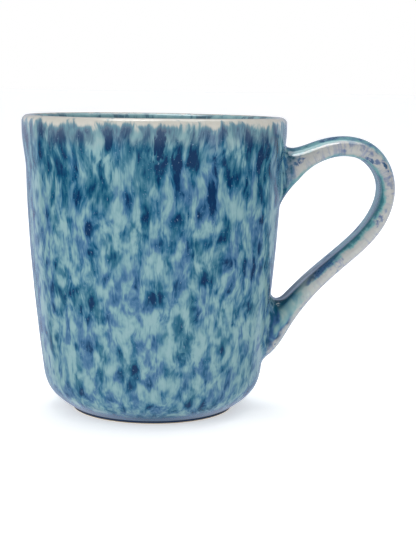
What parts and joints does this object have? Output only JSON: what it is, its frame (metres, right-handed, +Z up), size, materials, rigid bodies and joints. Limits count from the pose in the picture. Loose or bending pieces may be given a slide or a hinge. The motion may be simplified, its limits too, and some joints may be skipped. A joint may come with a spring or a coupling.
{
  "type": "ceramic mug",
  "caption": "Stoneware mug with a pulled strap handle, a softly flared pale lip, a rounded heel and a mottled blue and aqua gloss glaze.",
  "frame": {"origin": "centre of the foot ring, on the surface that the mug stands on", "axes": "+Z up along the cup's axis, +X towards the handle, the handle's middle plane is Y = 0"},
  "size_m": [0.1248, 0.088, 0.098],
  "materials": {
    "clay": "unglazed fired stoneware, fine and matte",
    "slip": "slip under a thick dark teal pool of gloss glaze",
    "mottled_glaze": "gloss, aqua with cobalt and dark teal runs",
    "liner_glaze": "gloss, aqua with dark spots",
    "pale_glaze": "gloss, cream where it thins over the lip",
    "handle_glaze": "gloss, cream on the edges and teal in the hollows"
  },
  "bodies": {
    "root": {"cup_body": "clay", "handle": "clay", "upper_slip_joint": "slip", "lower_slip_joint": "slip", "outer_glaze": "mottled_glaze", "inner_glaze": "liner_glaze", "lip_glaze": "pale_glaze", "handle_glaze": "handle_glaze"}
  },
  "joints": []
}
